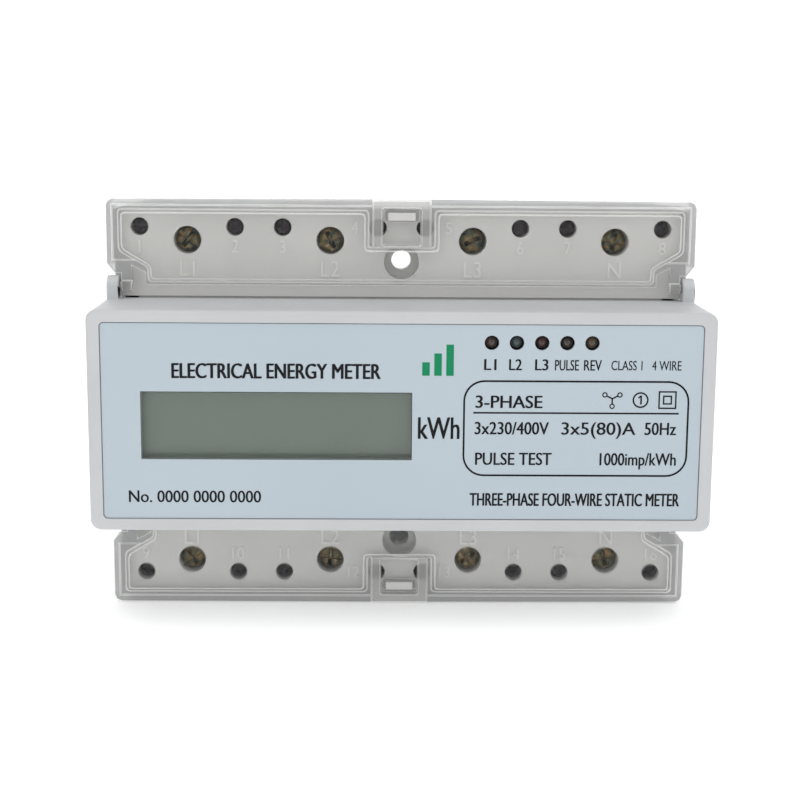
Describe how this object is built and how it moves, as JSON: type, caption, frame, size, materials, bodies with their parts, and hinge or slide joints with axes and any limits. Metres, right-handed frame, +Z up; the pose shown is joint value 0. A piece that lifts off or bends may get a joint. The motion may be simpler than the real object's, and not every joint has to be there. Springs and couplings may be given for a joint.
{
  "type": "rail-mounted electricity meter",
  "caption": "Rail-mounted three-phase electricity meter with a display nose, hinged clear terminal covers, turning terminal screws and a sprung rail clip.",
  "frame": {"origin": "middle of the flat face that sits on the front of the mounting rail", "axes": "+X right along the rail, +Y back into the rail and wall, +Z up; the display faces -Y"},
  "size_m": [0.126, 0.066, 0.087],
  "materials": {
    "housing_plastic": "fine-grained light grey moulding",
    "block_plastic": "warm grey moulding",
    "clear_cover": "clear polycarbonate, slightly milky at the edges",
    "nameplate": "printed pale blue sheet",
    "window": "grey-green display pane",
    "lcd": "grey-green LCD glass",
    "dark_plastic": "black moulding",
    "led_lens": "dark tinted lens",
    "circuit_board": "green solder mask",
    "copper": "bare copper",
    "transformer_core": "blue-black coated ring",
    "clip_plastic": "black sprung moulding",
    "spring_steel": "drawn wire",
    "plated_steel": "zinc-plated steel",
    "screw_brass": "yellow-passivated, dulled",
    "screw_steel": "dark plated"
  },
  "bodies": {
    "meter_body": {"base_housing": "housing_plastic", "front_cover": "housing_plastic", "upper_terminal_block": "block_plastic", "lower_terminal_block": "block_plastic", "nameplate": "nameplate", "display_window": "window", "lcd_frame": "dark_plastic", "lcd_panel": "lcd", "l1_led": "led_lens", "l2_led": "led_lens", "l3_led": "led_lens", "pulse_led": "led_lens", "reverse_led": "led_lens", "main_board": "circuit_board", "l1_busbar": "copper", "l2_busbar": "copper", "l3_busbar": "copper", "n_busbar": "copper", "l1_current_transformer": "transformer_core", "l2_current_transformer": "transformer_core", "l3_current_transformer": "transformer_core", "clip_spring": "spring_steel", "upper_auxiliary_strip": "dark_plastic", "lower_auxiliary_strip": "dark_plastic"},
    "upper_cover": {"upper_terminal_cover": "clear_cover"},
    "lower_cover": {"lower_terminal_cover": "clear_cover"},
    "clip": {"rail_clip": "clip_plastic"},
    "upper_l1_screw_body": {"upper_l1_screw": "screw_brass"},
    "upper_l1_cage_body": {"upper_l1_cage": "plated_steel"},
    "upper_l2_screw_body": {"upper_l2_screw": "screw_brass"},
    "upper_l2_cage_body": {"upper_l2_cage": "plated_steel"},
    "upper_l3_screw_body": {"upper_l3_screw": "screw_brass"},
    "upper_l3_cage_body": {"upper_l3_cage": "plated_steel"},
    "upper_n_screw_body": {"upper_n_screw": "screw_brass"},
    "upper_n_cage_body": {"upper_n_cage": "plated_steel"},
    "lower_l1_screw_body": {"lower_l1_screw": "screw_brass"},
    "lower_l1_cage_body": {"lower_l1_cage": "plated_steel"},
    "lower_l2_screw_body": {"lower_l2_screw": "screw_brass"},
    "lower_l2_cage_body": {"lower_l2_cage": "plated_steel"},
    "lower_l3_screw_body": {"lower_l3_screw": "screw_brass"},
    "lower_l3_cage_body": {"lower_l3_cage": "plated_steel"},
    "lower_n_screw_body": {"lower_n_screw": "screw_brass"},
    "lower_n_cage_body": {"lower_n_cage": "plated_steel"},
    "small_screw_1_body": {"small_screw_1": "screw_steel"},
    "small_screw_2_body": {"small_screw_2": "screw_steel"},
    "small_screw_3_body": {"small_screw_3": "screw_steel"},
    "small_screw_4_body": {"small_screw_4": "screw_steel"},
    "small_screw_5_body": {"small_screw_5": "screw_steel"},
    "small_screw_6_body": {"small_screw_6": "screw_steel"},
    "small_screw_7_body": {"small_screw_7": "screw_steel"},
    "small_screw_8_body": {"small_screw_8": "screw_steel"},
    "small_screw_9_body": {"small_screw_9": "screw_steel"},
    "small_screw_10_body": {"small_screw_10": "screw_steel"},
    "small_screw_11_body": {"small_screw_11": "screw_steel"},
    "small_screw_12_body": {"small_screw_12": "screw_steel"},
    "small_screw_13_body": {"small_screw_13": "screw_steel"},
    "small_screw_14_body": {"small_screw_14": "screw_steel"},
    "small_screw_15_body": {"small_screw_15": "screw_steel"},
    "small_screw_16_body": {"small_screw_16": "screw_steel"}
  },
  "joints": [
    {"name": "upper_cover_hinge", "type": "hinge", "parent": "meter_body", "child": "upper_cover", "pos_m": [0, -0.0408, 0.0252], "axis": [1, 0, 0], "range_deg": [0, 90]},
    {"name": "lower_cover_hinge", "type": "hinge", "parent": "meter_body", "child": "lower_cover", "pos_m": [0, -0.0408, -0.0252], "axis": [-1, 0, 0], "range_deg": [0, 90]},
    {"name": "rail_clip_slide", "type": "slide", "parent": "meter_body", "child": "clip", "axis": [0, 0, -1], "range_m": [0, 0.004], "stiffness_N_per_m": 300, "springref_m": -0.004, "deforming": ["clip_spring"]},
    {"name": "upper_l1_screw_turn", "type": "hinge", "parent": "meter_body", "child": "upper_l1_screw_body", "pos_m": [-0.045, -0.037, 0.0347], "axis": [0, 1, 0], "range_deg": [0, 1800]},
    {"name": "upper_l1_cage_rise", "type": "slide", "parent": "meter_body", "child": "upper_l1_cage_body", "axis": [0, -1, 0], "range_m": [0, 0.004]},
    {"name": "upper_l2_screw_turn", "type": "hinge", "parent": "meter_body", "child": "upper_l2_screw_body", "pos_m": [-0.015, -0.037, 0.0347], "axis": [0, 1, 0], "range_deg": [0, 1800]},
    {"name": "upper_l2_cage_rise", "type": "slide", "parent": "meter_body", "child": "upper_l2_cage_body", "axis": [0, -1, 0], "range_m": [0, 0.004]},
    {"name": "upper_l3_screw_turn", "type": "hinge", "parent": "meter_body", "child": "upper_l3_screw_body", "pos_m": [0.015, -0.037, 0.0347], "axis": [0, 1, 0], "range_deg": [0, 1800]},
    {"name": "upper_l3_cage_rise", "type": "slide", "parent": "meter_body", "child": "upper_l3_cage_body", "axis": [0, -1, 0], "range_m": [0, 0.004]},
    {"name": "upper_n_screw_turn", "type": "hinge", "parent": "meter_body", "child": "upper_n_screw_body", "pos_m": [0.045, -0.037, 0.0347], "axis": [0, 1, 0], "range_deg": [0, 1800]},
    {"name": "upper_n_cage_rise", "type": "slide", "parent": "meter_body", "child": "upper_n_cage_body", "axis": [0, -1, 0], "range_m": [0, 0.004]},
    {"name": "lower_l1_screw_turn", "type": "hinge", "parent": "meter_body", "child": "lower_l1_screw_body", "pos_m": [-0.045, -0.037, -0.0347], "axis": [0, 1, 0], "range_deg": [0, 1800]},
    {"name": "lower_l1_cage_rise", "type": "slide", "parent": "meter_body", "child": "lower_l1_cage_body", "axis": [0, -1, 0], "range_m": [0, 0.004]},
    {"name": "lower_l2_screw_turn", "type": "hinge", "parent": "meter_body", "child": "lower_l2_screw_body", "pos_m": [-0.015, -0.037, -0.0347], "axis": [0, 1, 0], "range_deg": [0, 1800]},
    {"name": "lower_l2_cage_rise", "type": "slide", "parent": "meter_body", "child": "lower_l2_cage_body", "axis": [0, -1, 0], "range_m": [0, 0.004]},
    {"name": "lower_l3_screw_turn", "type": "hinge", "parent": "meter_body", "child": "lower_l3_screw_body", "pos_m": [0.015, -0.037, -0.0347], "axis": [0, 1, 0], "range_deg": [0, 1800]},
    {"name": "lower_l3_cage_rise", "type": "slide", "parent": "meter_body", "child": "lower_l3_cage_body", "axis": [0, -1, 0], "range_m": [0, 0.004]},
    {"name": "lower_n_screw_turn", "type": "hinge", "parent": "meter_body", "child": "lower_n_screw_body", "pos_m": [0.045, -0.037, -0.0347], "axis": [0, 1, 0], "range_deg": [0, 1800]},
    {"name": "lower_n_cage_rise", "type": "slide", "parent": "meter_body", "child": "lower_n_cage_body", "axis": [0, -1, 0], "range_m": [0, 0.004]},
    {"name": "small_screw_1_turn", "type": "hinge", "parent": "meter_body", "child": "small_screw_1_body", "pos_m": [-0.055, -0.0374, 0.03745], "axis": [0, 1, 0], "range_deg": [0, 1080]},
    {"name": "small_screw_2_turn", "type": "hinge", "parent": "meter_body", "child": "small_screw_2_body", "pos_m": [-0.035, -0.0374, 0.03745], "axis": [0, 1, 0], "range_deg": [0, 1080]},
    {"name": "small_screw_3_turn", "type": "hinge", "parent": "meter_body", "child": "small_screw_3_body", "pos_m": [-0.025, -0.0374, 0.03745], "axis": [0, 1, 0], "range_deg": [0, 1080]},
    {"name": "small_screw_4_turn", "type": "hinge", "parent": "meter_body", "child": "small_screw_4_body", "pos_m": [-0.005, -0.0374, 0.03745], "axis": [0, 1, 0], "range_deg": [0, 1080]},
    {"name": "small_screw_5_turn", "type": "hinge", "parent": "meter_body", "child": "small_screw_5_body", "pos_m": [0.005, -0.0374, 0.03745], "axis": [0, 1, 0], "range_deg": [0, 1080]},
    {"name": "small_screw_6_turn", "type": "hinge", "parent": "meter_body", "child": "small_screw_6_body", "pos_m": [0.025, -0.0374, 0.03745], "axis": [0, 1, 0], "range_deg": [0, 1080]},
    {"name": "small_screw_7_turn", "type": "hinge", "parent": "meter_body", "child": "small_screw_7_body", "pos_m": [0.035, -0.0374, 0.03745], "axis": [0, 1, 0], "range_deg": [0, 1080]},
    {"name": "small_screw_8_turn", "type": "hinge", "parent": "meter_body", "child": "small_screw_8_body", "pos_m": [0.055, -0.0374, 0.03745], "axis": [0, 1, 0], "range_deg": [0, 1080]},
    {"name": "small_screw_9_turn", "type": "hinge", "parent": "meter_body", "child": "small_screw_9_body", "pos_m": [-0.055, -0.0374, -0.03745], "axis": [0, 1, 0], "range_deg": [0, 1080]},
    {"name": "small_screw_10_turn", "type": "hinge", "parent": "meter_body", "child": "small_screw_10_body", "pos_m": [-0.035, -0.0374, -0.03745], "axis": [0, 1, 0], "range_deg": [0, 1080]},
    {"name": "small_screw_11_turn", "type": "hinge", "parent": "meter_body", "child": "small_screw_11_body", "pos_m": [-0.025, -0.0374, -0.03745], "axis": [0, 1, 0], "range_deg": [0, 1080]},
    {"name": "small_screw_12_turn", "type": "hinge", "parent": "meter_body", "child": "small_screw_12_body", "pos_m": [-0.005, -0.0374, -0.03745], "axis": [0, 1, 0], "range_deg": [0, 1080]},
    {"name": "small_screw_13_turn", "type": "hinge", "parent": "meter_body", "child": "small_screw_13_body", "pos_m": [0.005, -0.0374, -0.03745], "axis": [0, 1, 0], "range_deg": [0, 1080]},
    {"name": "small_screw_14_turn", "type": "hinge", "parent": "meter_body", "child": "small_screw_14_body", "pos_m": [0.025, -0.0374, -0.03745], "axis": [0, 1, 0], "range_deg": [0, 1080]},
    {"name": "small_screw_15_turn", "type": "hinge", "parent": "meter_body", "child": "small_screw_15_body", "pos_m": [0.035, -0.0374, -0.03745], "axis": [0, 1, 0], "range_deg": [0, 1080]},
    {"name": "small_screw_16_turn", "type": "hinge", "parent": "meter_body", "child": "small_screw_16_body", "pos_m": [0.055, -0.0374, -0.03745], "axis": [0, 1, 0], "range_deg": [0, 1080]}
  ],
  "couplings": [
    {"joint": "upper_l1_screw_turn", "follows": "upper_l1_cage_rise", "rad_per_m": 7853.9},
    {"joint": "upper_l2_screw_turn", "follows": "upper_l2_cage_rise", "rad_per_m": 7853.9},
    {"joint": "upper_l3_screw_turn", "follows": "upper_l3_cage_rise", "rad_per_m": 7853.9},
    {"joint": "upper_n_screw_turn", "follows": "upper_n_cage_rise", "rad_per_m": 7853.9},
    {"joint": "lower_l1_screw_turn", "follows": "lower_l1_cage_rise", "rad_per_m": 7853.9},
    {"joint": "lower_l2_screw_turn", "follows": "lower_l2_cage_rise", "rad_per_m": 7853.9},
    {"joint": "lower_l3_screw_turn", "follows": "lower_l3_cage_rise", "rad_per_m": 7853.9},
    {"joint": "lower_n_screw_turn", "follows": "lower_n_cage_rise", "rad_per_m": 7853.9}
  ]
}
